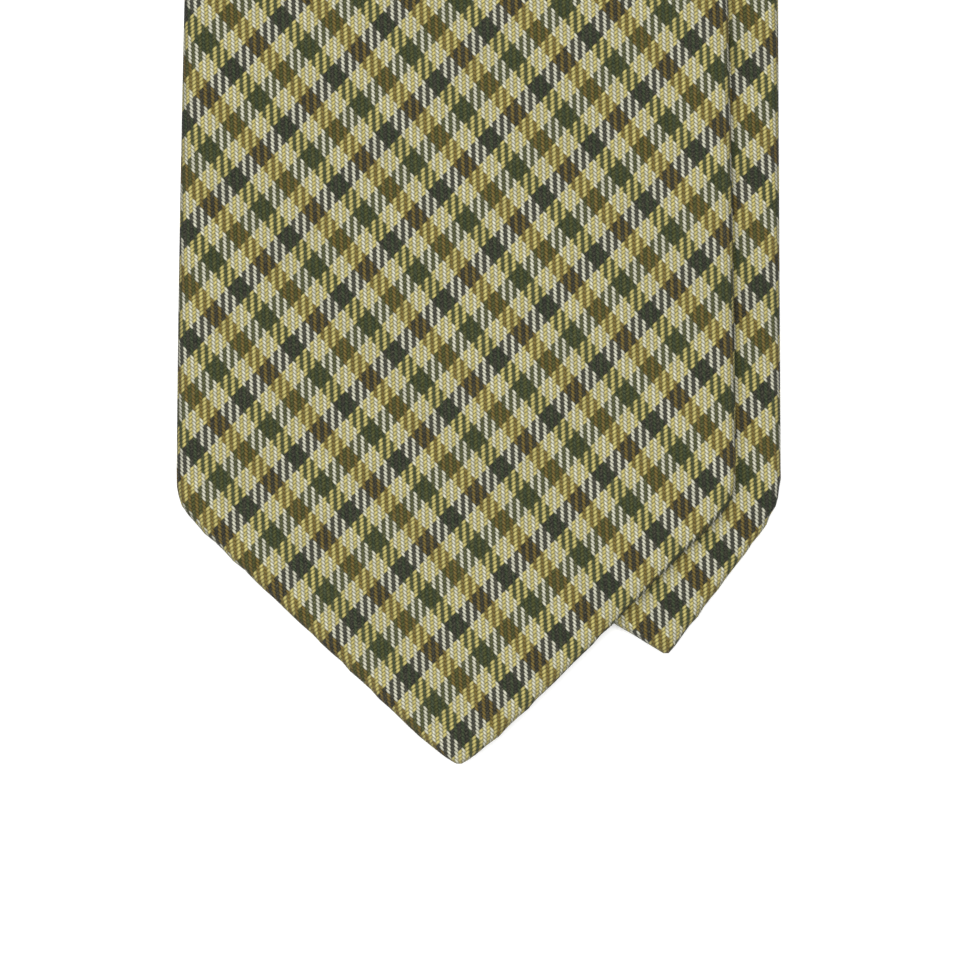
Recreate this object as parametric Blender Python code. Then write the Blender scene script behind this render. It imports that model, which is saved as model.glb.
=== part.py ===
# A necktie lying folded: the broad front blade rests on the narrow tail blade, both faces up.
# The neck band between them turns twice over 45 degree creases, so both blades hang the same way.
# Metres, +Z up. The blade tips point to -Y, the neck is at +Y, and the tie lies on z = 0.
#
# Each half is a folded tube of cloth. Its points are given along the strip (s, from the blade's tip),
# across it (t, to the right of the centre line) and through it (n, up from the back of the tube).

import math

import bmesh
import bpy
from mathutils import Vector

mm = 0.001
root_two = math.sqrt(2)

# Driving sizes
front_half_width = 42.5 * mm
front_tip_to_crease = 732 * mm
tail_half_width = 17.5 * mm
tail_tip_height = 16.7 * mm
tail_offset_at_tip = 32 * mm
tail_offset_at_neck = 46 * mm
parallel_end = 130 * mm
neck_half_width = 14 * mm
straight_neck = 60 * mm

# Layers through one tube, measured up from its back
cloth = 0.55 * mm
tube_thickness = 3.1 * mm
tipping_span = (0.85 * mm, 1.15 * mm)
interlining_span = (1.45 * mm, 2.25 * mm)
stitch_span = (0.10 * mm, 0.45 * mm)
layer_inset = 1.3 * mm
clearance = 0.3 * mm

# Creases at the neck
fold_gap = 1.6 * mm
bend_radius = fold_gap / 2 + tube_thickness / 2
bend_length = math.pi * bend_radius
tail_crease_height = tube_thickness + fold_gap / 2
front_crease_height = tail_crease_height + tube_thickness + fold_gap
top_level = front_crease_height + fold_gap / 2
seam_distance = tail_offset_at_neck / 2 + bend_length / root_two
seam_half_gap = 0.45 * mm

# The back seam, its stitches and the keeper
seam_edge = 0.45 * mm
stitch_half_width = 0.15 * mm
bar_tack_half_length = 4.2 * mm
bar_tack_start = 6.0 * mm
bar_tack_width = 1.4 * mm
keeper_start = 190 * mm
keeper_width = 10 * mm
keeper_half_length = 24 * mm
keeper_turned_edge = 16 * mm
keeper_thickness = 1.3 * mm
keeper_cloth = 0.5 * mm
keeper_tack_width = 1.2 * mm
keeper_room = keeper_thickness + clearance
keeper_room_ease = 45 * mm

# How the front blade settles from the neck onto the table and the tail
front_descent = (380 * mm, 682 * mm)
drape_height = tube_thickness + clearance
drape_reach = 30 * mm
drape_margin = 2 * mm

front = {
    "tip_half": 1.9 * mm,
    "tip_shift": 0.5 * mm,
    "half_width": front_half_width,
    "left_corner": 39.2 * mm,
    "right_corner": 39.8 * mm,
    "taper": 1.5,
    "length": front_tip_to_crease,
    "hem": 6 * mm,
    "apex": 86 * mm,
    "tipping_end": 130 * mm,
    "lean": 1,
    "columns": 15,
    "flap_columns": 6,
}
tail = {
    "tip_half": 0.6 * mm,
    "tip_shift": 0,
    "half_width": tail_half_width,
    "left_corner": 10.6 * mm,
    "right_corner": 22.5 * mm,
    "taper": 1.0,
    "length": front_tip_to_crease - tail_tip_height,
    "hem": 5 * mm,
    "apex": 45 * mm,
    "tipping_end": 75 * mm,
    "lean": -1,
    "columns": 7,
    "flap_columns": 3,
}
corner_softness = 3.5 * mm
bend_steps = 8
arc_steps = 4
sharp_angle = 40


def clear_scene():
    for thing in list(bpy.data.objects):
        bpy.data.objects.remove(thing, do_unlink=True)


def smooth_step(value):
    value = min(max(value, 0.0), 1.0)
    return value * value * (3 - 2 * value)


def smooth_min(first, second, softness):
    nearness = max(softness - abs(first - second), 0.0) / softness
    return min(first, second) - nearness * nearness * softness / 4


def mix(start, end, share):
    return start + (end - start) * share


def spread(start, end, count):
    return [mix(start, end, i / (count - 1)) for i in range(count)]


# Outline of a blade

def blade_half_width(leg, s):
    corner = max(leg["left_corner"], leg["right_corner"])
    share = (s - corner) / (leg["length"] - straight_neck - corner)
    share = min(max(share, 0.0), 1.0)
    return mix(leg["half_width"], neck_half_width, share ** leg["taper"])


def edge(leg, side, s):
    slope = (leg["half_width"] - leg["tip_half"]) / leg[side + "_corner"]
    return smooth_min(leg["tip_half"] + slope * s, blade_half_width(leg, s), corner_softness)


def flap_edge(leg, side, s):
    hemmed = edge(leg, side, s) - leg["hem"]
    return max(seam_edge, min(hemmed, leg["apex"] - s))


# Where the strip lies in space

def tail_centre(s):
    share = (s - parallel_end) / (tail["length"] - parallel_end)
    return mix(tail_offset_at_tip, tail_offset_at_neck, smooth_step(share))


def window(value, start, end, ease):
    return smooth_step((value - start + ease) / ease) * smooth_step((end + ease - value) / ease)


def front_rise(x, y):
    settle = smooth_step((y - front_descent[0]) / (front_descent[1] - front_descent[0]))
    tail_s = y - tail_tip_height
    tail_left = tail_centre(tail_s) - blade_half_width(tail, tail_s)
    over_tail = smooth_step((x - tail_left + drape_margin + drape_reach) / drape_reach)
    over_keeper = window(y, keeper_start, keeper_start + keeper_width, keeper_room_ease)
    resting = drape_height * over_tail + keeper_room * over_keeper
    return mix(resting, top_level, settle)


# Distance out of the crease and height above its axis, for a point past the crease
def bend(beyond, radius):
    if beyond >= bend_length:
        return bend_length - beyond, -radius
    angle = beyond / bend_radius
    return radius * math.sin(angle), radius * math.cos(angle)


def place_front(s, t, n):
    past = s - front["length"]
    beyond = (past - t) / root_two
    along = (past + t) / root_two
    if beyond <= 0:
        x = t + front["tip_shift"] * (1 - smooth_step(s / front["right_corner"]))
        return Vector((x, s, n + front_rise(x, s)))
    out, height = bend(beyond, fold_gap / 2 + n)
    x = (along - out) / root_two
    y = front["length"] + (along + out) / root_two
    return Vector((x, y, front_crease_height + height))


def place_tail(s, t, n):
    past = s - tail["length"]
    beyond = (past + t) / root_two
    along = (past - t) / root_two
    if beyond <= 0:
        return Vector((tail_centre(s) + t, tail_tip_height + s, n))
    out, height = bend(beyond, fold_gap / 2 + tube_thickness - n)
    x = tail_offset_at_neck + (out - along) / root_two
    y = front["length"] + (out + along) / root_two
    return Vector((x, y, tail_crease_height - height))


# Rows across the strip: each is its place along the centre line and how far it leans with the crease

def lean_at(leg, s):
    return leg["lean"] * smooth_step((s - leg["length"] + straight_neck) / straight_neck)


def leg_rows(leg, start, end):
    corner = max(leg["left_corner"], leg["right_corner"])
    stops = [0, 0.03, 0.09, 0.18, 0.3, 0.45, 0.6, 0.75, 0.86, 0.94, 1, 1.1, 1.24]
    places = [corner * stop for stop in stops]
    places += spread(corner * 1.5, leg["apex"], 4)
    places += spread(leg["apex"] + 12 * mm, leg["apex"] + 60 * mm, 4)
    places += spread(leg["apex"] + 80 * mm, leg["length"] - straight_neck, 20)
    places += spread(leg["length"] - straight_neck * 0.8, leg["length"] - 6 * mm, 5)
    kept = [start] + [s for s in places if start + 0.5 * mm < s < end - 2 * mm] + [end]
    return [(s, lean_at(leg, s)) for s in kept]


def neck_rows(leg):
    start = leg["length"] + clearance / 3
    bend_end = leg["length"] + bend_length * root_two
    seam = leg["length"] + seam_distance - seam_half_gap
    rows = [(s, leg["lean"]) for s in spread(start, bend_end, bend_steps + 1)]
    for share in (1 / 3, 2 / 3, 1):
        rows.append((mix(bend_end, seam, share), leg["lean"] * (1 - share)))
    return rows


# Cross-sections: a list of outer points and a list of the inner points behind them

# From the flap's edge out along the back and round the folded side, up to the face
def turned_side(half, flap, sign, base, top, soft, flap_columns):
    radius_t = min(soft, 0.6 * half)
    radius_n = (top - base) / 2
    middle = (top + base) / 2
    flat = [(sign * t, base) for t in spread(flap, half - radius_t, flap_columns)]
    for i in range(1, arc_steps):
        angle = math.pi * i / arc_steps
        t = half - radius_t + radius_t * math.sin(angle)
        flat.append((sign * t, middle - radius_n * math.cos(angle)))
    return flat, half - radius_t


def tube_section(left, right, flap_left, flap_right, base, top, soft, columns, flap_columns):
    back_left, face_left = turned_side(left, flap_left, -1, base, top, soft, flap_columns)
    back_right, face_right = turned_side(right, flap_right, 1, base, top, soft, flap_columns)
    face = [(t, top) for t in spread(-face_left, face_right, columns)]
    return back_left + face + back_right[::-1]


def shell_sections(leg, s):
    left = edge(leg, "left", s)
    right = edge(leg, "right", s)
    flap_left = flap_edge(leg, "left", s)
    flap_right = flap_edge(leg, "right", s)
    count = (leg["columns"], leg["flap_columns"])
    soft = tube_thickness / 2
    outer = tube_section(left, right, flap_left, flap_right, 0, tube_thickness, soft, *count)
    inner = tube_section(left - cloth, right - cloth, flap_left, flap_right,
                         cloth, tube_thickness - cloth, soft - cloth, *count)
    return outer, inner


def layer_sections(leg, s, span):
    left = edge(leg, "left", s) - layer_inset
    right = edge(leg, "right", s) - layer_inset
    across = spread(-left, right, leg["columns"])
    return [(t, span[1]) for t in across], [(t, span[0]) for t in across]


def bar_sections(left, right, span, columns=2):
    across = spread(left, right, columns)
    return [(t, span[1]) for t in across], [(t, span[0]) for t in across]


# Solids

# One closed body through a list of rows; sections gives each row's outer and inner points
def loft(name, rows, sections, place, material):
    mesh = bmesh.new()
    rings = []
    for (s, lean), (outer, inner) in zip(rows, sections):
        points = outer + inner[::-1]
        rings.append([mesh.verts.new(place(s + lean * t, t, n)) for t, n in points])
    size = len(rings[0])
    for ring, following in zip(rings, rings[1:]):
        for i in range(size):
            j = (i + 1) % size
            mesh.faces.new((ring[i], ring[j], following[j], following[i]))
    for ring in (rings[0], rings[-1]):
        for i in range(size // 2 - 1):
            mesh.faces.new((ring[i], ring[i + 1], ring[size - 2 - i], ring[size - 1 - i]))
    bmesh.ops.recalc_face_normals(mesh, faces=mesh.faces)
    data = bpy.data.meshes.new(name)
    mesh.to_mesh(data)
    mesh.free()
    data.materials.append(material)
    data.shade_smooth()
    data.set_sharp_from_angle(angle=math.radians(sharp_angle))
    bpy.context.scene.collection.objects.link(bpy.data.objects.new(name, data))


def shell(name, leg, rows, place, material):
    sections = [shell_sections(leg, s) for s, lean in rows]
    loft(name, rows, sections, place, material)


def layer(name, leg, rows, span, place, material):
    sections = [layer_sections(leg, s, span) for s, lean in rows]
    loft(name, rows, sections, place, material)


def bar(name, rows, left, right, span, place, material):
    sections = [bar_sections(left, right, span) for row in rows]
    loft(name, rows, sections, place, material)


def make_material(name, colour, roughness):
    material = bpy.data.materials.new(name)
    material.use_nodes = True
    surface = material.node_tree.nodes["Principled BSDF"]
    surface.inputs["Base Color"].default_value = (*colour, 1)
    surface.inputs["Roughness"].default_value = roughness
    surface.inputs["Metallic"].default_value = 0.0
    return material


# The pieces of one half of the tie

def make_half(side, leg, place, paints):
    end = leg["length"] - clearance
    shell(side + "_shell", leg, leg_rows(leg, 0, end), place, paints["cloth"])
    layer(side + "_interlining", leg, leg_rows(leg, 5 * mm, end), interlining_span, place,
          paints["interlining"])
    layer(side + "_tipping", leg, leg_rows(leg, 4 * mm, leg["tipping_end"]), tipping_span, place,
          paints["tipping"])
    tack_start = leg["apex"] - bar_tack_start
    tack_rows = [(tack_start, 0), (tack_start + bar_tack_width, 0)]
    bar(side + "_bar_tack", tack_rows, -bar_tack_half_length, bar_tack_half_length, stitch_span,
        place, paints["thread"])
    bar(side + "_slip_stitch", leg_rows(leg, leg["apex"] + 6 * mm, end), -stitch_half_width,
        stitch_half_width, stitch_span, place, paints["thread"])


def make_neck(side, leg, place, paints):
    shell("neck_shell_" + side, leg, neck_rows(leg), place, paints["cloth"])
    layer("neck_interlining_" + side, leg, neck_rows(leg), interlining_span, place,
          paints["interlining"])


def make_seam_thread(paints):
    middle = front["length"] + seam_distance
    rows = [(middle - stitch_half_width, 0), (middle + stitch_half_width, 0)]
    shell("neck_seam_thread", {**front, "columns": 7, "flap_columns": 3}, rows, place_front,
          paints["thread"])


def make_keeper(paints):
    rows = [(s, 0) for s in spread(keeper_start, keeper_start + keeper_width, 3)]
    turned = (keeper_half_length, keeper_half_length, keeper_turned_edge, keeper_turned_edge)
    outer = tube_section(*turned, 0, keeper_thickness, keeper_thickness / 2, 9, 2)
    inset = (keeper_half_length - keeper_cloth, keeper_half_length - keeper_cloth,
             keeper_turned_edge, keeper_turned_edge)
    inner = tube_section(*inset, keeper_cloth, keeper_thickness - keeper_cloth,
                         keeper_thickness / 2 - keeper_cloth, 9, 2)

    def place_under(s, t, n):
        return place_front(s, t, -clearance - n)

    loft("keeper_loop", rows, [(outer, inner)] * len(rows), place_under, paints["cloth"])
    tack_rows = [(keeper_start + 1 * mm, 0), (keeper_start + keeper_width - 1 * mm, 0)]
    for side, sign in (("left", -1), ("right", 1)):
        near = sign * (keeper_turned_edge - clearance)
        far = near - sign * keeper_tack_width
        bar("keeper_tack_" + side, tack_rows, min(near, far), max(near, far),
            (clearance / 3, keeper_cloth), place_under, paints["thread"])


# Moves every mesh so that the whole tie's box stands centred on the origin
def centre_on_table():
    points = [v.co for thing in bpy.data.objects for v in thing.data.vertices]
    low = Vector([min(p[i] for p in points) for i in range(3)])
    high = Vector([max(p[i] for p in points) for i in range(3)])
    shift = Vector((-(low.x + high.x) / 2, -(low.y + high.y) / 2, -low.z))
    for thing in bpy.data.objects:
        for vertex in thing.data.vertices:
            vertex.co += shift


def main():
    clear_scene()
    paints = {
        "cloth": make_material("tie_cloth", (0.16, 0.16, 0.08), 0.9),
        "tipping": make_material("tipping_cloth", (0.05, 0.06, 0.05), 0.7),
        "interlining": make_material("interlining_felt", (0.72, 0.69, 0.6), 0.95),
        "thread": make_material("sewing_thread", (0.06, 0.07, 0.05), 0.8),
    }
    make_half("front", front, place_front, paints)
    make_half("tail", tail, place_tail, paints)
    make_neck("front", front, place_front, paints)
    make_neck("tail", tail, place_tail, paints)
    make_seam_thread(paints)
    make_keeper(paints)
    centre_on_table()


main()
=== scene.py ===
import math

import bmesh
import bpy
import numpy as np
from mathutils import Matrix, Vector


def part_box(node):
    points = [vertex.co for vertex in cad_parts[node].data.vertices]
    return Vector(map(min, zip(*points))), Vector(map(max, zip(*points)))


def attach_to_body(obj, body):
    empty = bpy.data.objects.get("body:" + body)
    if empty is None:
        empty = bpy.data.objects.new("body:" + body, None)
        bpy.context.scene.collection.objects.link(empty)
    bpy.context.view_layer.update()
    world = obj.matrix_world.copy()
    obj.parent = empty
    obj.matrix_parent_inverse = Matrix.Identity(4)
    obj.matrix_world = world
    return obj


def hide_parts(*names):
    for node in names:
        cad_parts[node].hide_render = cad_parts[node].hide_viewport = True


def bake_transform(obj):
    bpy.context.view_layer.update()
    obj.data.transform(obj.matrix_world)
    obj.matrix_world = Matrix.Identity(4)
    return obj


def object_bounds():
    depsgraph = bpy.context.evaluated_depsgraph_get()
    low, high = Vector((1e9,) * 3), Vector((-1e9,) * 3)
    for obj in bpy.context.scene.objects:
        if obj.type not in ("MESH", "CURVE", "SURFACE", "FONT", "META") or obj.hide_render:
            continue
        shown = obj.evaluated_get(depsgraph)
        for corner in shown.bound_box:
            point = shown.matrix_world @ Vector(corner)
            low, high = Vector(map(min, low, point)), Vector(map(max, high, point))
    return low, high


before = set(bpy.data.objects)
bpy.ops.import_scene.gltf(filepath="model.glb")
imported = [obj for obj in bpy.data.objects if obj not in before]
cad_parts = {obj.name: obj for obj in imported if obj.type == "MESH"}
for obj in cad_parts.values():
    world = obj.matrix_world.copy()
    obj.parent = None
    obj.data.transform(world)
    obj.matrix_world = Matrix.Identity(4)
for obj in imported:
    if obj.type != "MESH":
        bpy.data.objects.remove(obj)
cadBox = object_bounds()
mm = 0.001
rootTwo = math.sqrt(2)

# The tie's own layout: lengths run from the front tip, widths from the front's centre line
layout = {
    "neckOffset": 46 * mm,          # from the front's centre line to the tail's, at the neck
    "tipOffset": 32 * mm,           # the same at the tips
    "tailTip": 16.7 * mm,           # how far the tail's tip lies behind the front's
    "frontLength": 732 * mm,
    "parallelEnd": 130 * mm,        # the blades lie parallel up to here
    "neckHalf": 14 * mm,
    "straightNeck": 60 * mm,
    "thickness": 3.1 * mm,
    "foldGap": 1.6 * mm,
    "clearance": 0.3 * mm,
}
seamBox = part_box("neck_seam_thread")
originX = (seamBox[0][0] + seamBox[1][0]) / 2 - layout["neckOffset"] / 2
originY = cadBox[0][1]
bendRadius = (layout["foldGap"] + layout["thickness"]) / 2
bendLength = math.pi * bendRadius
tailAxis = layout["thickness"] + layout["foldGap"] / 2
frontAxis = tailAxis + layout["thickness"] + layout["foldGap"]
topLevel = frontAxis + layout["foldGap"] / 2

frontBlade = {
    "half": 42.5 * mm, "tipHalf": 1.9 * mm, "leftCorner": 39.2 * mm, "rightCorner": 39.8 * mm,
    "tipShift": 0.5 * mm, "taper": 1.5, "length": layout["frontLength"], "hem": 6 * mm,
    "apex": 86 * mm, "lean": 1, "blunt": 1.5 * mm, "faceColumns": 58, "flapColumns": 16,
    "ripple": 0.11 * mm, "phase": 0.6, "clothOrigin": (0, 0.15 * mm), "clothDrift": (0, 0),
    "pull": 1.1 * mm,
}
tailBlade = {
    "half": 17.5 * mm, "tipHalf": 0.6 * mm, "leftCorner": 10.6 * mm, "rightCorner": 22.5 * mm,
    "tipShift": 0, "taper": 1.0, "length": layout["frontLength"] - layout["tailTip"], "hem": 5 * mm,
    "apex": 45 * mm, "lean": -1, "blunt": 0.2 * mm, "faceColumns": 26, "flapColumns": 8,
    "ripple": 0.10 * mm, "phase": 2.1, "clothOrigin": (21.98 * mm, 19.6 * mm),
    "clothDrift": (0.0124, 0.0148), "pull": 0,
}


def smoothStep(value):
    value = min(max(value, 0.0), 1.0)
    return value * value * (3 - 2 * value)


def mix(start, end, share):
    return start + (end - start) * share


def spread(start, end, count):
    return [mix(start, end, i / (count - 1)) for i in range(count)]


def between(start, end, step):
    return spread(start, end, max(2, round((end - start) / step) + 1))


def smoothMin(first, second, softness):
    nearness = max(softness - abs(first - second), 0.0) / softness
    return min(first, second) - nearness * nearness * softness / 4


# Outline of a blade: its half width on one side, at s from the tip
def bladeHalf(blade, s):
    corner = max(blade["leftCorner"], blade["rightCorner"])
    share = (s - corner) / (blade["length"] - layout["straightNeck"] - corner)
    return mix(blade["half"], layout["neckHalf"], min(max(share, 0.0), 1.0) ** blade["taper"])


edge = {
    "bluntReach": 2 * mm, "cornerSoftness": 3.5 * mm, "flapLeast": 0.12 * mm,
    "waves": ((1.0, 6.1 * mm), (0.7, 3.3 * mm), (0.5, 1.9 * mm)),  # strength and length of each wobble
    "wavesStart": 3 * mm, "wavesEnd": 8 * mm, "turn": {"left": 1, "right": 2.7},
}


def edgeAt(blade, side, s):
    corner = blade[side + "Corner"]
    slope = (blade["half"] - blade["tipHalf"]) / corner
    line = blade["tipHalf"] + slope * s - blade["blunt"] * math.exp(-s / edge["bluntReach"])
    along = 2 * math.pi * s * rootTwo
    wobble = 0
    for i, (strength, length) in enumerate(edge["waves"]):
        wobble += strength * math.sin(along / length + (i + 1) * blade["phase"] * edge["turn"][side])
    fade = smoothStep(s / edge["wavesStart"]) * (1 - smoothStep((s - corner) / edge["wavesEnd"]))
    return smoothMin(line, bladeHalf(blade, s), edge["cornerSoftness"]) + blade["ripple"] * wobble * fade


def flapAt(blade, side, s):
    return max(edge["flapLeast"], min(edgeAt(blade, side, s) - blade["hem"], blade["apex"] - s))


# Where the strip lies: s from the tip, t across, n up through the cloth
def tailCentre(s):
    start = layout["parallelEnd"]
    share = smoothStep((s - start) / (tailBlade["length"] - start))
    return mix(layout["tipOffset"], layout["neckOffset"], share)


def window(value, start, end, ease):
    return smoothStep((value - start + ease) / ease) * smoothStep((end + ease - value) / ease)


drape = {
    "descent": (380 * mm, 682 * mm),
    "reach": 30 * mm,
    "margin": 2 * mm,
    "keeperRoom": 1.6 * mm,
    "keeperEase": 45 * mm,
}
keeper = {
    "start": 190 * mm, "width": 10 * mm, "half": 24 * mm, "turned": 16 * mm, "thick": 1.3 * mm,
    "cloth": 0.45 * mm, "round": 0.6 * mm, "rows": 9, "columns": (41, 9),
}


def frontRise(x, y):
    settle = smoothStep((y - drape["descent"][0]) / (drape["descent"][1] - drape["descent"][0]))
    tailLeft = tailCentre(y - layout["tailTip"]) - bladeHalf(tailBlade, y - layout["tailTip"])
    overTail = smoothStep((x - tailLeft + drape["margin"] + drape["reach"]) / drape["reach"])
    overKeeper = window(y, keeper["start"], keeper["start"] + keeper["width"], drape["keeperEase"])
    resting = (layout["thickness"] + layout["clearance"]) * overTail + drape["keeperRoom"] * overKeeper
    return mix(resting, topLevel, settle)


# Distance out of the crease and height above its axis, past the crease; the fold is pressed flat
bend = {
    "pressed": 0.5,
    "clothTurns": between(0, 75, 7.5) + between(105, 180, 7.5),
    "feltTurns": between(0, 45, 15) + between(135, 180, 15),
}


def bendAt(beyond, radius):
    if beyond >= bendLength:
        return bendLength - beyond, -radius
    angle = beyond / bendRadius
    return bend["pressed"] * radius * math.sin(angle), radius * math.cos(angle)


def placeFront(s, t, n):
    past = s - frontBlade["length"]
    beyond = (past - t) / rootTwo
    along = (past + t) / rootTwo
    if beyond <= 0:
        x = t + frontBlade["tipShift"] * (1 - smoothStep(s / frontBlade["rightCorner"]))
        return originX + x, originY + s, n + frontRise(x, s)
    out, height = bendAt(beyond, layout["foldGap"] / 2 + n)
    x = (along - out) / rootTwo
    y = frontBlade["length"] + (along + out) / rootTwo
    return originX + x, originY + y, frontAxis + height


def placeTail(s, t, n):
    past = s - tailBlade["length"]
    beyond = (past + t) / rootTwo
    along = (past - t) / rootTwo
    if beyond <= 0:
        return originX + tailCentre(s) + t, originY + layout["tailTip"] + s, n
    out, height = bendAt(beyond, layout["foldGap"] / 2 + layout["thickness"] - n)
    x = layout["neckOffset"] + (out - along) / rootTwo
    y = frontBlade["length"] + (out + along) / rootTwo
    return originX + x, originY + y, tailAxis - height


# Rows across the strip, as (place along the centre line, lean with the crease)
rowSteps = {
    "first": (0, 0.15 * mm, 0.4 * mm, 0.8 * mm), "fine": 1.4 * mm, "fineEnd": 130 * mm, "plain": 5 * mm,
    "neck": 3 * mm, "toSeam": 6,
}


def legStops(blade, start, end):
    fineEnd = min(rowSteps["fineEnd"], end)
    stops = [start + x for x in rowSteps["first"]]
    stops += between(start + rowSteps["fine"], fineEnd, rowSteps["fine"])
    neckStart = blade["length"] - layout["straightNeck"]
    if end > neckStart:
        stops += between(fineEnd, neckStart, rowSteps["plain"])[1:]
        stops += between(neckStart, end, rowSteps["neck"])[1:]
    elif end > fineEnd:
        stops += between(fineEnd, end, rowSteps["plain"])[1:]
    share = layout["straightNeck"]
    return [(s, blade["lean"] * smoothStep((s - blade["length"] + share) / share)) for s in stops]


# No row lies close to the middle of the fold
def neckStops(blade, seamGap, turns):
    bendEnd = blade["length"] + bendLength * rootTwo
    seam = blade["length"] + layout["neckOffset"] / 2 + bendLength / rootTwo - seamGap
    rows = [(mix(blade["length"], bendEnd, turn / 180), blade["lean"]) for turn in turns if turn > 0]
    rows += [(mix(bendEnd, seam, x), blade["lean"] * (1 - x)) for x in spread(0, 1, rowSteps["toSeam"])[1:]]
    return rows


def stripRows(blade, turns, start=0.0, seamGap=0.1 * mm):
    return legStops(blade, start, blade["length"]) + neckStops(blade, seamGap, turns)


# Cross-section of a folded tube, from one flap's edge round the face to the other's
tube = {
    "cloth": 0.55 * mm, "round": 2.8 * mm, "arcSteps": 9, "dome": 0.22 * mm, "nose": 1.6 * mm,
    # The fold width sets how far in from a folded side the painted shade reaches
    "noseLeast": 0.06, "innerLeast": 0.55, "roundMost": 0.6, "foldShadeWidth": 0.9 * mm, "sharpAngle": 50,
}
lift = {
    "long": (0.09 * mm, 37 * mm, 61 * mm), "short": (0.07 * mm, 23 * mm, 43 * mm),  # height, across, along
    "pucker": 0.10 * mm, "puckerLength": 5.3 * mm, "puckerReach": 4 * mm, "puckerEnd": 10 * mm,
}


def foldedSide(half, flap, sign, base, top, roundT, columns):
    roundT = min(roundT, tube["roundMost"] * half)
    middle = (top + base) / 2
    points = [(sign * t, base) for t in spread(flap, half - roundT, columns)]
    for i in range(1, tube["arcSteps"]):
        angle = math.pi * i / tube["arcSteps"]
        t = half - roundT + roundT * math.sin(angle)
        points.append((sign * t, middle - (top - base) / 2 * math.cos(angle)))
    return points, half - roundT


def tubeSection(edges, flaps, base, top, roundT, faceColumns, flapColumns):
    left, faceLeft = foldedSide(edges[0], flaps[0], -1, base, top, roundT, flapColumns)
    right, faceRight = foldedSide(edges[1], flaps[1], 1, base, top, roundT, flapColumns)
    face = [(t, top) for t in spread(-faceLeft, faceRight, faceColumns)]
    return left + face + right[::-1], len(left), -faceLeft


def clothLift(blade, s, t, edges):
    share = min(abs(t) / max(edges[0 if t < 0 else 1], 1e-4), 1.0)
    dome = tube["dome"] * (1 - share ** 4)
    height, across, along = lift["long"]
    waves = height * math.sin(2 * math.pi * (t / across + s / along) + 1)
    height, across, along = lift["short"]
    waves += height * math.sin(2 * math.pi * (t / across - s / along) + blade["phase"])
    toEdge = edges[0 if t < 0 else 1] - abs(t)
    tipFade = 1 - smoothStep((s - blade["rightCorner"]) / lift["puckerEnd"])
    pucker = lift["pucker"] * math.sin(2 * math.pi * s * rootTwo / lift["puckerLength"] + blade["phase"])
    return dome + waves * (1 - share ** 2) + pucker * tipFade * math.exp(-toEdge / lift["puckerReach"])


def shellRow(blade, s):
    edges = (edgeAt(blade, "left", s), edgeAt(blade, "right", s))
    flaps = (flapAt(blade, "left", s), flapAt(blade, "right", s))
    count = (blade["faceColumns"], blade["flapColumns"])
    top = layout["thickness"]
    cloth = tube["cloth"]
    outer, firstFace, faceStart = tubeSection(edges, flaps, 0, top, tube["round"], *count)
    inner = tubeSection([max(e - cloth, tube["innerLeast"] * e) for e in edges], flaps, cloth, top - cloth,
                        tube["round"] - cloth, *count)[0]
    nose = 1.0
    if s < tube["nose"]:
        nose = max(tube["noseLeast"], math.sqrt(1 - (1 - s / tube["nose"]) ** 2))

    def settled(points):
        shaped = []
        for t, n in points:
            lift = clothLift(blade, s, t, edges) if n > top / 2 else 0
            shaped.append((t, top / 2 + (n + lift - top / 2) * nose))
        return shaped

    across = [0.0]
    for first, second in zip(outer, outer[1:]):
        across.append(across[-1] + math.dist(first, second))
    shift = faceStart - across[firstFace]
    return settled(outer), settled(inner), [a + shift for a in across]


def layerRow(blade, s, span, inset, columns):
    edges = [edgeAt(blade, side, s) - inset for side in ("left", "right")]
    across = spread(-edges[0], edges[1], columns)
    return [(t, span[1]) for t in across], [(t, span[0]) for t in across], across


plainCut = {"clothOrigin": (0, 0), "clothDrift": (0, 0), "pull": 0}
tipPull = {"reach": 62 * mm, "side": 4 * mm, "width": 19 * mm}


# Cloth coordinates in metres; sewing pulls the cloth at the middle of a tip a little
def clothAt(cut, along, across):
    toSide = math.exp(-((across + tipPull["side"]) / tipPull["width"]) ** 2)
    pulled = cut["pull"] * (1 - smoothStep(along / tipPull["reach"])) * toSide
    drift = cut["clothDrift"]
    return (across + drift[0] * along + cut["clothOrigin"][0],
            along * (1 + drift[1]) + cut["clothOrigin"][1] - pulled)


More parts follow.
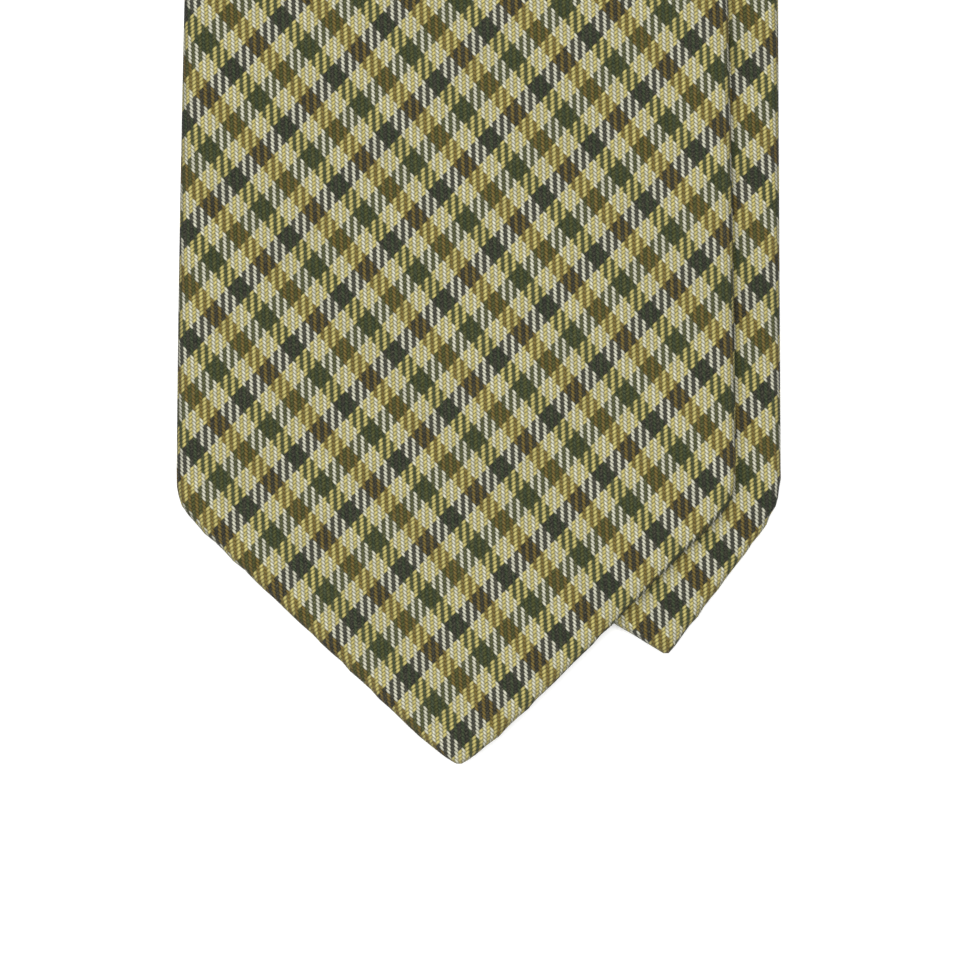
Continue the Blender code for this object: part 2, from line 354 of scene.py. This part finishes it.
# One closed body through the rows
def stripMesh(name, rows, sections, placeStrip, cut, material):
    points, cloth, turned = [], [], []
    for (s, lean), (outer, inner, across) in zip(rows, sections):
        ring = outer + inner[::-1]
        # turned: how near each point lies to a folded side, 1 at the side; it carries the painted shade along
        # the folded sides
        farLeft, farRight = min(t for t, n in ring), max(t for t, n in ring)
        for t, n in ring:
            toSide = min(t - farLeft, farRight - t)
            turned.append(1 - smoothStep(toSide / tube["foldShadeWidth"]))
        for (t, n), u in zip(ring, across + across[::-1]):
            points.append(placeStrip(s + lean * t, t, n))
            cloth.append(clothAt(cut, s + lean * t, u))
    size = len(sections[0][0]) * 2
    count = len(rows)
    faces = []
    for r in range(count - 1):
        for i in range(size):
            j = (i + 1) % size
            faces.append((r * size + i, r * size + j, (r + 1) * size + j, (r + 1) * size + i))
    for start in (0, (count - 1) * size):
        for i in range(size // 2 - 1):
            faces.append((start + i, start + i + 1, start + size - 2 - i, start + size - 1 - i))
    mesh = bpy.data.meshes.new(name)
    mesh.from_pydata(points, [], faces)
    turnOut(mesh)
    # Point attribute for the painted shade along the folded sides
    fold = mesh.attributes.new("FoldPaintedShade", "FLOAT", "POINT")
    fold.data.foreach_set("value", turned)
    layer = mesh.uv_layers.new(name="Cloth")
    corners = np.zeros(len(mesh.loops), dtype=np.int32)
    mesh.loops.foreach_get("vertex_index", corners)
    layer.data.foreach_set("uv", np.array(cloth, dtype=np.float32)[corners].ravel())
    mesh.shade_smooth()
    mesh.set_sharp_from_angle(angle=math.radians(tube["sharpAngle"]))
    mesh.materials.append(material)
    made = bpy.data.objects.new(name, mesh)
    bpy.context.scene.collection.objects.link(made)
    return made


def turnOut(mesh):
    work = bmesh.new()
    work.from_mesh(mesh)
    bmesh.ops.recalc_face_normals(work, faces=work.faces)
    work.to_mesh(mesh)
    work.free()


# Shader and geometry trees are built through these; wire adds a node and fills its inputs
def attach(tree, socket, value):
    if isinstance(value, bpy.types.NodeSocket):
        tree.links.new(value, socket)
    else:
        socket.default_value = value


def wire(tree, kind, inputs=None, **settings):
    node = tree.nodes.new(kind)
    for name, value in settings.items():
        setattr(node, name, value)
    for name, value in (inputs or {}).items():
        attach(tree, node.inputs[name], value)
    return node


def calc(tree, operation, *values):
    node = wire(tree, "ShaderNodeMath", operation=operation)
    for socket, value in zip(node.inputs, values):
        attach(tree, socket, value)
    return node.outputs[0]


def rescale(tree, value, low, high, newLow, newHigh):
    node = wire(tree, "ShaderNodeMapRange", {"Value": value, "From Min": low, "From Max": high,
                                              "To Min": newLow, "To Max": newHigh})
    return node.outputs["Result"]


def blendColour(tree, kind, share, first, second):
    node = wire(tree, "ShaderNodeMix", data_type="RGBA", blend_type=kind)
    attach(tree, node.inputs[0], share)
    attach(tree, node.inputs[6], first)
    attach(tree, node.inputs[7], second)
    return node.outputs[2]


def display(red, green, blue):
    def straight(value):
        value = value / 255
        return value / 12.92 if value <= 0.04045 else ((value + 0.055) / 1.055) ** 2.4
    return (straight(red), straight(green), straight(blue), 1)


def newGroup(name, kind, inputs, outputs):
    group = bpy.data.node_groups.new(name, kind)
    for label, socket, value in inputs:
        made = group.interface.new_socket(label, in_out="INPUT", socket_type=socket)
        if value is not None:
            made.default_value = value
    for label, socket in outputs:
        group.interface.new_socket(label, in_out="OUTPUT", socket_type=socket)
    given = group.nodes.new("NodeGroupInput")
    result = group.nodes.new("NodeGroupOutput")
    return group, given.outputs, result.inputs


def useGroup(tree, group, inputs):
    node = tree.nodes.new("ShaderNodeGroup")
    node.node_tree = group
    for name, value in inputs.items():
        attach(tree, node.inputs[name], value)
    return node.outputs


def combined(tree, x, y, z=0.0):
    return wire(tree, "ShaderNodeCombineXYZ", {"X": x, "Y": y, "Z": z}).outputs[0]


# Float heights from deepest to highest set the painted crevice shade; the brightest setting is a painted
# highlight on the float tops
yarn = {
    "along": 0.8, "across": 2.6, "deepest": -0.5, "highest": 0.95, "paintedHighlight": 1.22, "mottle": 4.5,
    "warpSeed": 17.5, "weftSeed": 113.5,
}


# Threads over and under: each float is a bead, highest at its middle
def makeWeaveGroup():
    group, given, result = newGroup(
        "Woven Threads", "ShaderNodeTree",
        [("Warp Count", "NodeSocketFloat", 0.0), ("Weft Count", "NodeSocketFloat", 0.0),
         ("Period", "NodeSocketFloat", 4.0), ("Roundness", "NodeSocketFloat", 1.0),
         ("Depth", "NodeSocketFloat", 0.5), ("Unevenness", "NodeSocketFloat", 0.1),
         ("Fuzziness", "NodeSocketFloat", 0.3), ("Weft Lift", "NodeSocketFloat", 0.0)],
        [("Warp Up", "NodeSocketFloat"), ("Height", "NodeSocketFloat"), ("Shade", "NodeSocketFloat"),
         ("Warp Thread", "NodeSocketFloat"), ("Weft Thread", "NodeSocketFloat"),
         ("Fibre", "NodeSocketFloat")])
    warp, weft, period = given["Warp Count"], given["Weft Count"], given["Period"]
    warpThread = calc(group, "FLOOR", warp)
    weftThread = calc(group, "FLOOR", weft)
    quarter = calc(group, "DIVIDE", period, 4.0)

    def floatHeight(along, own, offset, across):
        step = calc(group, "SUBTRACT", calc(group, "ADD", along, own), offset)
        turn = calc(group, "DIVIDE", calc(group, "MULTIPLY", step, 2 * math.pi), period)
        wave = calc(group, "COSINE", turn)
        side = calc(group, "MULTIPLY_ADD", calc(group, "FRACT", across), 2.0, -1.0)
        drop = calc(group, "MULTIPLY", calc(group, "MULTIPLY", side, side), given["Roundness"])
        return calc(group, "SUBTRACT", wave, drop)

    warpHeight = floatHeight(weft, warpThread, quarter, warp)
    weftHeight = floatHeight(warp, weftThread, calc(group, "MULTIPLY", quarter, 3.0), weft)
    lead = calc(group, "SUBTRACT", warpHeight, weftHeight)
    warpUp = rescale(group, lead, calc(group, "SUBTRACT", given["Weft Lift"], given["Fuzziness"]),
                     calc(group, "ADD", given["Weft Lift"], given["Fuzziness"]), 0.0, 1.0)
    height = calc(group, "MAXIMUM", warpHeight, weftHeight)

    # Every thread is a little lighter or darker, and its fibres run along it
    def threadRandom(index, offset):
        return wire(group, "ShaderNodeTexWhiteNoise", {"W": calc(group, "ADD", index, offset)},
                     noise_dimensions="1D").outputs["Value"]

    def fibres(warpScale, weftScale, layer):
        vector = combined(group, calc(group, "MULTIPLY", warp, warpScale),
                          calc(group, "MULTIPLY", weft, weftScale), layer)
        return wire(group, "ShaderNodeTexNoise", {"Vector": vector, "Scale": 1.0, "Detail": 2.0,
                                                  "Roughness": 0.6}).outputs["Fac"]

    warpFibre = fibres(yarn["across"], yarn["along"], 3.0)
    weftFibre = fibres(yarn["along"], yarn["across"], 9.0)
    fibre = wire(group, "ShaderNodeMix", {0: warpUp, 2: weftFibre, 3: warpFibre}).outputs[0]
    ownRandom = wire(group, "ShaderNodeMix", {0: warpUp, 2: threadRandom(weftThread, yarn["weftSeed"]),
                                               3: threadRandom(warpThread, yarn["warpSeed"])}).outputs[0]
    # Painted shade in the crevices between floats and a painted highlight on their tops; Depth sets how dark
    # the crevices go
    paintedShadeAndHighlight = rescale(group, height, yarn["deepest"], yarn["highest"],
                      calc(group, "SUBTRACT", 1.0, given["Depth"]), yarn["paintedHighlight"])
    uneven = calc(group, "MULTIPLY_ADD", calc(group, "SUBTRACT", ownRandom, 0.5), given["Unevenness"], 1.0)
    mottle = calc(group, "MULTIPLY_ADD", calc(group, "SUBTRACT", fibre, 0.5),
                  calc(group, "MULTIPLY", given["Unevenness"], yarn["mottle"]), 1.0)
    shade = calc(group, "MULTIPLY", calc(group, "MULTIPLY", paintedShadeAndHighlight, uneven), mottle)
    for name, value in (("Warp Up", warpUp), ("Height", height), ("Shade", shade),
                        ("Warp Thread", warpThread), ("Weft Thread", weftThread), ("Fibre", fibre)):
        group.links.new(value, result[name])
    return group


checkCloth = {
    # threads counted per metre across and along the cloth, from a start
    "warp": (1908.4, 1746.7, 16.94), "weft": (1702.7, -1628.6, 1.83),
    "showThrough": 0.045, "threadsInBand": 7,
    "warpYarns": [display(175, 174, 156), display(95, 80, 37), display(175, 174, 156), display(44, 54, 37)],
    "weftYarns": [display(163, 153, 91), display(60, 63, 31), display(163, 153, 91), display(41, 41, 36)],
    # depth: how dark the painted shade in the crevices between floats goes
    "depth": 0.65, "roundness": 0.85, "fuzziness": 0.8, "weftLift": 0.4, "unevenness": 0.2,
    # foldShade: how dark the painted shade along the folded sides goes
    "relief": 0.10 * mm, "foldShade": 0.45,
    "fuzz": 0.30, "fuzzColour": display(128, 126, 96), "hairScale": 3200.0, "hairRange": (0.48, 0.75),
}


def makeCheckGroup():
    group, given, result = newGroup(
        "Check Bands", "ShaderNodeTree",
        [("Warp Thread", "NodeSocketFloat", 0.0), ("Weft Thread", "NodeSocketFloat", 0.0),
         ("Warp Up", "NodeSocketFloat", 0.0), ("Threads In Band", "NodeSocketFloat", 7.0)],
        [("Color", "NodeSocketColor")])

    def banded(thread, yarns):
        middle = calc(group, "ADD", thread, 0.5)
        band = calc(group, "FLOOR", calc(group, "DIVIDE", middle, given["Threads In Band"]))
        band = calc(group, "DIVIDE", calc(group, "ADD", calc(group, "FLOORED_MODULO", band, 4.0), 0.5), 4.0)
        ramp = wire(group, "ShaderNodeValToRGB", {"Fac": band})
        ramp.color_ramp.interpolation = "CONSTANT"
        stops = ramp.color_ramp.elements
        while len(stops) < len(yarns):
            stops.new(0.5)
        for i, yarn in enumerate(yarns):
            stops[i].position = i / len(yarns)
            stops[i].color = yarn
        return ramp.outputs["Color"]

    warpColour = banded(given["Warp Thread"], checkCloth["warpYarns"])
    weftColour = banded(given["Weft Thread"], checkCloth["weftYarns"])
    group.links.new(blendColour(group, "MIX", given["Warp Up"], weftColour, warpColour), result["Color"])
    return group


weaveGroup = makeWeaveGroup()
checkGroup = makeCheckGroup()


def newMaterial(name, **constants):
    material = bpy.data.materials.new(name)
    material.use_nodes = True
    surface = material.node_tree.nodes["Principled BSDF"]
    for socket, value in constants.items():
        surface.inputs[socket.replace("_", " ")].default_value = value
    return material, material.node_tree, surface.inputs


def bumped(tree, surface, height, distance):
    node = wire(tree, "ShaderNodeBump", {"Height": height, "Distance": distance, "Strength": 1.0})
    tree.links.new(node.outputs["Normal"], surface["Normal"])


def clothPlace(tree):
    spot = wire(tree, "ShaderNodeUVMap", uv_map="Cloth").outputs["UV"]
    parts = wire(tree, "ShaderNodeSeparateXYZ", {"Vector": spot}).outputs
    return parts["X"], parts["Y"]


def threadCount(tree, spot, rule):
    along = calc(tree, "MULTIPLY_ADD", spot[1], rule[1], rule[2])
    return calc(tree, "MULTIPLY_ADD", spot[0], rule[0], along)


def makeTieCloth():
    material, tree, surface = newMaterial("tieCloth", Roughness=0.88, Sheen_Weight=0.05, Sheen_Roughness=0.5,
                                          Specular_IOR_Level=0.12)
    spot = clothPlace(tree)
    weave = useGroup(tree, weaveGroup, {
        "Warp Count": threadCount(tree, spot, checkCloth["warp"]),
        "Weft Count": threadCount(tree, spot, checkCloth["weft"]), "Period": 4.0,
        "Roundness": checkCloth["roundness"], "Depth": checkCloth["depth"],
        "Unevenness": checkCloth["unevenness"], "Fuzziness": checkCloth["fuzziness"],
        "Weft Lift": checkCloth["weftLift"]})
    through = checkCloth["showThrough"]  # the yarn below shows a little between the hairs of the one above
    crossing = rescale(tree, weave["Warp Up"], 0.0, 1.0, through, 1 - through)
    colour = useGroup(tree, checkGroup, {
        "Warp Thread": weave["Warp Thread"], "Weft Thread": weave["Weft Thread"],
        "Warp Up": crossing, "Threads In Band": float(checkCloth["threadsInBand"])})["Color"]
    # Painted crevice shade and float-top highlight, times each thread's own tone, multiply the yarn colours
    shade = wire(tree, "ShaderNodeCombineColor", {0: weave["Shade"], 1: weave["Shade"], 2: weave["Shade"]})
    colour = blendColour(tree, "MULTIPLY", 1.0, colour, shade.outputs[0])
    hairs = wire(tree, "ShaderNodeTexNoise", {
        "Vector": combined(tree, spot[0], spot[1]), "Scale": checkCloth["hairScale"], "Detail": 2.0,
        "Roughness": 0.7, "Distortion": 1.5}).outputs["Fac"]
    share = rescale(tree, hairs, *checkCloth["hairRange"], 0.0, checkCloth["fuzz"])
    colour = blendColour(tree, "MIX", share, colour, checkCloth["fuzzColour"])
    # Painted shade along the folded sides: the cloth is darkened where it turns away from the light
    turned = wire(tree, "ShaderNodeAttribute", attribute_name="FoldPaintedShade").outputs["Fac"]
    paintedFoldShade = rescale(tree, turned, 0.0, 1.0, 1.0, 1 - checkCloth["foldShade"])
    paintedFoldShade = wire(tree, "ShaderNodeCombineColor", {0: paintedFoldShade, 1: paintedFoldShade, 2: paintedFoldShade}).outputs[0]
    colour = blendColour(tree, "MULTIPLY", 1.0, colour, paintedFoldShade)
    tree.links.new(colour, surface["Base Color"])
    tree.links.new(rescale(tree, weave["Fibre"], 0.3, 0.7, 0.8, 0.95), surface["Roughness"])
    bumped(tree, surface, weave["Height"], checkCloth["relief"])
    return material


lining = {
    # depth: how dark the painted shade between the lining's threads goes
    "threads": 3100, "colour": display(52, 60, 48), "depth": 0.35, "unevenness": 0.12, "relief": 0.05 * mm,
}


def makeLiningCloth():
    material, tree, surface = newMaterial("liningCloth", Roughness=0.55, Sheen_Weight=0.2,
                                          Specular_IOR_Level=0.4)
    spot = clothPlace(tree)
    weave = useGroup(tree, weaveGroup, {
        "Warp Count": calc(tree, "MULTIPLY", spot[0], lining["threads"]),
        "Weft Count": calc(tree, "MULTIPLY", spot[1], lining["threads"]), "Period": 2.0,
        "Roundness": 0.8, "Depth": lining["depth"], "Unevenness": lining["unevenness"]})
    # Painted shade between the threads, times each thread's own tone
    shade = wire(tree, "ShaderNodeCombineColor", {0: weave["Shade"], 1: weave["Shade"], 2: weave["Shade"]})
    colour = blendColour(tree, "MULTIPLY", 1.0, lining["colour"], shade.outputs[0])
    tree.links.new(colour, surface["Base Color"])
    tree.links.new(rescale(tree, weave["Fibre"], 0.3, 0.7, 0.45, 0.65), surface["Roughness"])
    bumped(tree, surface, weave["Height"], lining["relief"])
    return material


felt = {
    "colour": display(214, 208, 190), "shadow": display(176, 168, 148), "fibreScale": 1500,
    "lumpScale": 120.0, "relief": 0.12 * mm,
}


def makeFelt():
    material, tree, surface = newMaterial("interliningFelt", Roughness=0.95, Sheen_Weight=0.3)
    spot = wire(tree, "ShaderNodeTexCoord").outputs["Object"]
    long = wire(tree, "ShaderNodeMapping", {"Vector": spot, "Scale": (1.0, 0.25, 1.0),
                                            "Rotation": (0, 0, 0.5)})
    fibre = wire(tree, "ShaderNodeTexNoise", {"Vector": long.outputs[0], "Scale": felt["fibreScale"],
                                               "Detail": 5.0, "Roughness": 0.7}).outputs["Fac"]
    lump = wire(tree, "ShaderNodeTexNoise", {"Vector": spot, "Scale": felt["lumpScale"],
                                             "Detail": 2.0}).outputs["Fac"]
    height = calc(tree, "ADD", fibre, lump)
    share = rescale(tree, height, 0.75, 1.25, 0.0, 1.0)
    colour = blendColour(tree, "MIX", share, felt["shadow"], felt["colour"])
    tree.links.new(colour, surface["Base Color"])
    tree.links.new(rescale(tree, fibre, 0.3, 0.7, 0.88, 1.0), surface["Roughness"])
    bumped(tree, surface, height, felt["relief"])
    return material


sewing = {
    "colour": display(66, 74, 58), "light": display(96, 104, 84), "plyScale": 240.0, "fluffScale": 4000.0,
    "relief": 0.04 * mm,
}


def makeSewingThread():
    material, tree, surface = newMaterial("sewingThread", Roughness=0.6, Sheen_Weight=0.2,
                                          Specular_IOR_Level=0.4)
    spot = wire(tree, "ShaderNodeTexCoord").outputs["Object"]
    ply = wire(tree, "ShaderNodeTexWave", {"Vector": spot, "Scale": sewing["plyScale"], "Distortion": 1.0,
                                            "Detail": 1.0}, bands_direction="DIAGONAL").outputs["Fac"]
    fluff = wire(tree, "ShaderNodeTexNoise", {"Vector": spot, "Scale": sewing["fluffScale"],
                                              "Detail": 3.0}).outputs["Fac"]
    height = calc(tree, "MULTIPLY_ADD", ply, 0.7, calc(tree, "MULTIPLY", fluff, 0.3))
    colour = blendColour(tree, "MIX", height, sewing["colour"], sewing["light"])
    tree.links.new(colour, surface["Base Color"])
    tree.links.new(rescale(tree, height, 0.0, 1.0, 0.7, 0.5), surface["Roughness"])
    bumped(tree, surface, height, sewing["relief"])
    return material


print("materials")
tieCloth = makeTieCloth()
liningCloth = makeLiningCloth()
interliningFelt = makeFelt()
sewingThread = makeSewingThread()


# Surface of a strip cut flat: its greatest width, its length and its area
def flatCut(rows, sections):
    widths = [section[2][-1] - section[2][0] for section in sections]
    places = [row[0] for row in rows]
    steps = zip(places, places[1:], widths, widths[1:])
    area = sum((b - a) * (v + w) / 2 for a, b, v, w in steps)
    return (max(widths), places[-1] - places[0]), area


# Spans are heights through the tie, from its back
sewn = {
    "tipping": (0.85 * mm, 1.15 * mm), "interlining": (1.45 * mm, 2.25 * mm), "inset": 1.3 * mm, "columns": 15,
    "interliningStart": 5 * mm, "interliningSeamGap": 0.4 * mm,
    "tippingStart": 4 * mm, "frontTippingEnd": 130 * mm, "tailTippingEnd": 75 * mm,
}


def declareSheet(piece, rows, sections):
    flat, area = flatCut(rows, sections)
    print(piece.name, "cut", [round(x * 1000) for x in flat], "mm, area", round(area * 1e4), "cm2")


# The crease's plane is worked out, sloping down with the blade that hangs from it, but nothing uses it; only
# the transform is baked in
def blendAtCrease(piece, body, crease, slope, reach):
    normal = Vector((0, -slope, 1)).normalized() * reach
    centre = Vector(crease)
    above, below = centre + normal, centre - normal
    if body == "tail_half":
        above, below = below, above
    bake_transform(piece)


creaseY = originY + layout["frontLength"]
crease = {
    "front_half": ((originX, creaseY, frontAxis), 0.03, 0.35 * mm),
    "tail_half": ((originX + layout["neckOffset"], creaseY, tailAxis), 0.0, 0.65 * mm),
}


def makeShell(side, blade, placeStrip):
    rows = stripRows(blade, bend["clothTurns"])
    sections = [shellRow(blade, s) for s, lean in rows]
    piece = stripMesh(side + "ShellCloth", rows, sections, placeStrip, blade, tieCloth)
    blendAtCrease(piece, side + "_half", *crease[side + "_half"])
    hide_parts(side + "_shell", "neck_shell_" + side)
    declareSheet(piece, rows, sections)


def makeInterlining(side, blade, placeStrip):
    rows = stripRows(blade, bend["feltTurns"], sewn["interliningStart"], sewn["interliningSeamGap"])
    sections = [layerRow(blade, s, sewn["interlining"], sewn["inset"], sewn["columns"]) for s, lean in rows]
    piece = stripMesh(side + "InterliningFelt", rows, sections, placeStrip, plainCut, interliningFelt)
    blendAtCrease(piece, side + "_half", *crease[side + "_half"])
    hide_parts(side + "_interlining", "neck_interlining_" + side)
    declareSheet(piece, rows, sections)


def makeTipping(side, blade, placeStrip):
    rows = legStops(blade, sewn["tippingStart"], sewn[side + "TippingEnd"])
    sections = [layerRow(blade, s, sewn["tipping"], sewn["inset"], sewn["columns"]) for s, lean in rows]
    piece = stripMesh(side + "TippingCloth", rows, sections, placeStrip, plainCut, liningCloth)
    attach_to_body(piece, side + "_half")
    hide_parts(side + "_tipping")
    declareSheet(piece, rows, sections)


print("shells, interlinings and tippings")
for side, blade, placeStrip in (("front", frontBlade, placeFront), ("tail", tailBlade, placeTail)):
    makeShell(side, blade, placeStrip)
    makeInterlining(side, blade, placeStrip)
    makeTipping(side, blade, placeStrip)


def placeUnder(s, t, n):
    return placeFront(s, t, -layout["clearance"] - n)


def makeKeeper():
    rows = [(keeper["start"] + keeper["width"] * x, 0) for x in spread(0, 1, keeper["rows"])]
    half, turned, thick = keeper["half"], keeper["turned"], keeper["thick"]
    cloth = keeper["cloth"]
    outer, firstFace, faceStart = tubeSection((half, half), (turned, turned), 0, thick, keeper["round"],
                                              *keeper["columns"])
    inner = tubeSection((half - cloth, half - cloth), (turned, turned), cloth, thick - cloth,
                        keeper["round"] - cloth, *keeper["columns"])[0]
    across = [0.0]
    for first, second in zip(outer, outer[1:]):
        across.append(across[-1] + math.dist(first, second))
    sections = [(outer, inner, across)] * len(rows)
    piece = stripMesh("keeperLoopCloth", rows, sections, placeUnder, plainCut, tieCloth)
    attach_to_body(piece, "front_half")
    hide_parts("keeper_loop")
    declareSheet(piece, [(x[0], 0) for x in rows], sections)


makeKeeper()


# Thread stitches repeated along a path
def makeStitchTree():
    group, given, result = newGroup(
        "Stitch Row", "GeometryNodeTree",
        [("Path", "NodeSocketGeometry", None), ("Pitch", "NodeSocketFloat", 2 * mm),
         ("Stitch Length", "NodeSocketFloat", 2 * mm), ("Thread Radius", "NodeSocketFloat", 0.15 * mm),
         ("Turn", "NodeSocketFloat", 0.0), ("Looseness", "NodeSocketFloat", 0.05),
         ("Thread", "NodeSocketMaterial", None)],
        [("Stitches", "NodeSocketGeometry")])
    curve = wire(group, "GeometryNodeMeshToCurve", {"Mesh": given["Path"]}).outputs[0]
    points = wire(group, "GeometryNodeCurveToPoints", {"Curve": curve, "Length": given["Pitch"]},
                  mode="LENGTH")
    bead = wire(group, "GeometryNodeMeshUVSphere", {"Segments": 8, "Rings": 5,
                                                    "Radius": 1.0}).outputs["Mesh"]
    halfLength = calc(group, "MULTIPLY", given["Stitch Length"], 0.5)
    shape = combined(group, halfLength, given["Thread Radius"], given["Thread Radius"])
    bead = wire(group, "GeometryNodeTransform", {"Geometry": bead, "Scale": shape}).outputs[0]
    aim = wire(group, "FunctionNodeAlignRotationToVector", {"Vector": points.outputs["Tangent"]}, axis="X")
    lowest = calc(group, "MULTIPLY", given["Looseness"], -1.0)
    wobble = wire(group, "FunctionNodeRandomValue", {
        "Min": combined(group, lowest, lowest, lowest),
        "Max": combined(group, given["Looseness"], given["Looseness"], given["Looseness"]),
        "Seed": 11}, data_type="FLOAT_VECTOR").outputs[0]
    extra = wire(group, "ShaderNodeVectorMath", operation="ADD")
    group.links.new(wobble, extra.inputs[0])
    group.links.new(combined(group, 0.0, 0.0, given["Turn"]), extra.inputs[1])
    turned = wire(group, "FunctionNodeRotateRotation", {
        "Rotation": aim.outputs[0], "Rotate By": extra.outputs[0]}, rotation_space="LOCAL")
    copies = wire(group, "GeometryNodeInstanceOnPoints", {
        "Points": points.outputs["Points"], "Instance": bead, "Rotation": turned.outputs[0]}).outputs[0]
    real = wire(group, "GeometryNodeRealizeInstances", {"Geometry": copies}).outputs[0]
    smooth = wire(group, "GeometryNodeSetShadeSmooth", {"Geometry": real}).outputs[0]
    final = wire(group, "GeometryNodeSetMaterial", {"Geometry": smooth,
                                                    "Material": given["Thread"]}).outputs[0]
    group.links.new(final, result["Stitches"])
    return group


stitchTree = makeStitchTree()


def makeStitches(name, paths, body, node, settings):
    points, edges = [], []
    for path in paths:
        edges += [(len(points) + i, len(points) + i + 1) for i in range(len(path) - 1)]
        points += path
    mesh = bpy.data.meshes.new(name + "Path")
    mesh.from_pydata(points, edges, [])
    carrier = bpy.data.objects.new(name + "Path", mesh)
    bpy.context.scene.collection.objects.link(carrier)
    modifier = carrier.modifiers.new("Stitches", "NODES")
    modifier.node_group = stitchTree
    values = {**settings, "Thread": sewingThread}
    for item in stitchTree.interface.items_tree:
        if item.in_out == "INPUT" and item.name in values:
            modifier[item.identifier] = values[item.name]
    ready = carrier.evaluated_get(bpy.context.evaluated_depsgraph_get())
    made = bpy.data.objects.new(name, bpy.data.meshes.new_from_object(ready))
    made.data.name = name
    bpy.context.scene.collection.objects.link(made)
    bpy.data.objects.remove(carrier)
    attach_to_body(made, body)
    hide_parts(node)
    print(name, len(made.data.polygons), "faces")


stitchSizes = {
    "slip": {"Pitch": 9 * mm, "Stitch Length": 3.2 * mm, "Thread Radius": 0.14 * mm, "Turn": 0.15,
             "Looseness": 0.04},
    "bar": {"Pitch": 0.32 * mm, "Stitch Length": 1.4 * mm, "Thread Radius": 0.17 * mm, "Turn": math.pi / 2,
            "Looseness": 0.08},
    "seam": {"Pitch": 2.1 * mm, "Stitch Length": 1.9 * mm, "Thread Radius": 0.16 * mm, "Turn": 0.0,
             "Looseness": 0.03},
    "barHalf": 4.2 * mm, "barBack": 6 * mm, "barWidth": 1.4 * mm, "barStops": 5, "depth": 0.20 * mm,
    "slipStart": 6 * mm, "slipEnd": 12 * mm, "slipStep": 6 * mm,
    "tackWidth": 1.2 * mm, "tackInset": 1 * mm, "tackDepth": 0.3 * mm,
}


def makeThreads(side, blade, placeStrip):
    depth = stitchSizes["depth"]
    start, end = blade["apex"] + stitchSizes["slipStart"], blade["length"] - stitchSizes["slipEnd"]
    path = [placeStrip(s, 0, depth) for s in between(start, end, stitchSizes["slipStep"])]
    makeStitches(side + "SlipStitch", [path], side + "_half", side + "_slip_stitch", stitchSizes["slip"])
    s = blade["apex"] - stitchSizes["barBack"] + stitchSizes["barWidth"] / 2
    across = spread(-stitchSizes["barHalf"], stitchSizes["barHalf"], stitchSizes["barStops"])
    path = [placeStrip(s, t, depth) for t in across]
    makeStitches(side + "BarTack", [path], side + "_half", side + "_bar_tack", stitchSizes["bar"])


print("stitches")
makeThreads("front", frontBlade, placeFront)
makeThreads("tail", tailBlade, placeTail)
for side, sign in (("left", -1), ("right", 1)):
    t = sign * (keeper["turned"] - layout["clearance"] - stitchSizes["tackWidth"] / 2)
    start, end = keeper["start"], keeper["start"] + keeper["width"]
    rows = spread(start + stitchSizes["tackInset"], end - stitchSizes["tackInset"], stitchSizes["barStops"])
    path = [placeUnder(s, t, stitchSizes["tackDepth"]) for s in rows]
    makeStitches("keeperTack" + side.capitalize(), [path], "front_half", "keeper_tack_" + side,
                 stitchSizes["bar"])


def makeSeamStitches():
    middle = frontBlade["length"] + layout["neckOffset"] / 2 + bendLength / rootTwo
    outer = shellRow(frontBlade, middle)[0]
    path = [placeFront(middle, t, n) for t, n in outer]
    makeStitches("neckSeamStitches", [path], "neck", "neck_seam_thread", stitchSizes["seam"])


makeSeamStitches()


# Floor, light and camera
studio = {
    "floor": display(250, 250, 250), "floorGlow": 0.18, "floorHalf": 4.0, "floorDrop": 0.05 * mm,
    "world": 0.42, "keyPower": 35.0, "keySize": 1.6, "keyPlace": (-0.1, 0.15, 1.5), "keyAim": (0, -0.3, 0),
    "cameraHeight": 0.8, "cameraSide": 3.7 * mm, "cameraAhead": 43.06 * mm, "viewWidth": 145.8 * mm,
    "sensor": 36.0, "clipStart": 0.01,
}


def makeStudio():
    mesh = bpy.data.meshes.new("floor")
    size = studio["floorHalf"]
    corners = [(-size, -size), (size, -size), (size, size), (-size, size)]
    mesh.from_pydata([(x, y, -studio["floorDrop"]) for x, y in corners], [], [(0, 1, 2, 3)])
    floor = bpy.data.objects.new("floor", mesh)
    bpy.context.scene.collection.objects.link(floor)
    material, tree, surface = newMaterial("floorPaper", Roughness=0.9, Specular_IOR_Level=0.1)
    surface["Base Color"].default_value = studio["floor"]
    surface["Emission Color"].default_value = (1, 1, 1, 1)
    surface["Emission Strength"].default_value = studio["floorGlow"]
    mesh.materials.append(material)
    world = bpy.context.scene.world or bpy.data.worlds.new("Studio")
    bpy.context.scene.world = world
    world.use_nodes = True
    background = world.node_tree.nodes["Background"]
    background.inputs["Color"].default_value = (1, 1, 1, 1)
    background.inputs["Strength"].default_value = studio["world"]
    lamp = bpy.data.lights.new("key", "AREA")
    lamp.energy = studio["keyPower"]
    lamp.size = studio["keySize"]
    key = bpy.data.objects.new("key", lamp)
    target = Vector(studio["keyAim"])
    key.location = Vector(studio["keyPlace"]) + target
    key.rotation_euler = (target - key.location).to_track_quat("-Z", "Y").to_euler()
    bpy.context.scene.collection.objects.link(key)
    lens = bpy.data.cameras.new("camera")
    lens.sensor_width = studio["sensor"]
    lens.lens = studio["sensor"] * studio["cameraHeight"] / studio["viewWidth"]
    lens.clip_start = studio["clipStart"]
    camera = bpy.data.objects.new("camera", lens)
    height = studio["cameraHeight"] + layout["thickness"]
    camera.location = (originX + studio["cameraSide"], originY + studio["cameraAhead"], height)
    bpy.context.scene.collection.objects.link(camera)
    bpy.context.scene.camera = camera
    bpy.context.scene.view_settings.view_transform = "Standard"


print("studio")
makeStudio()
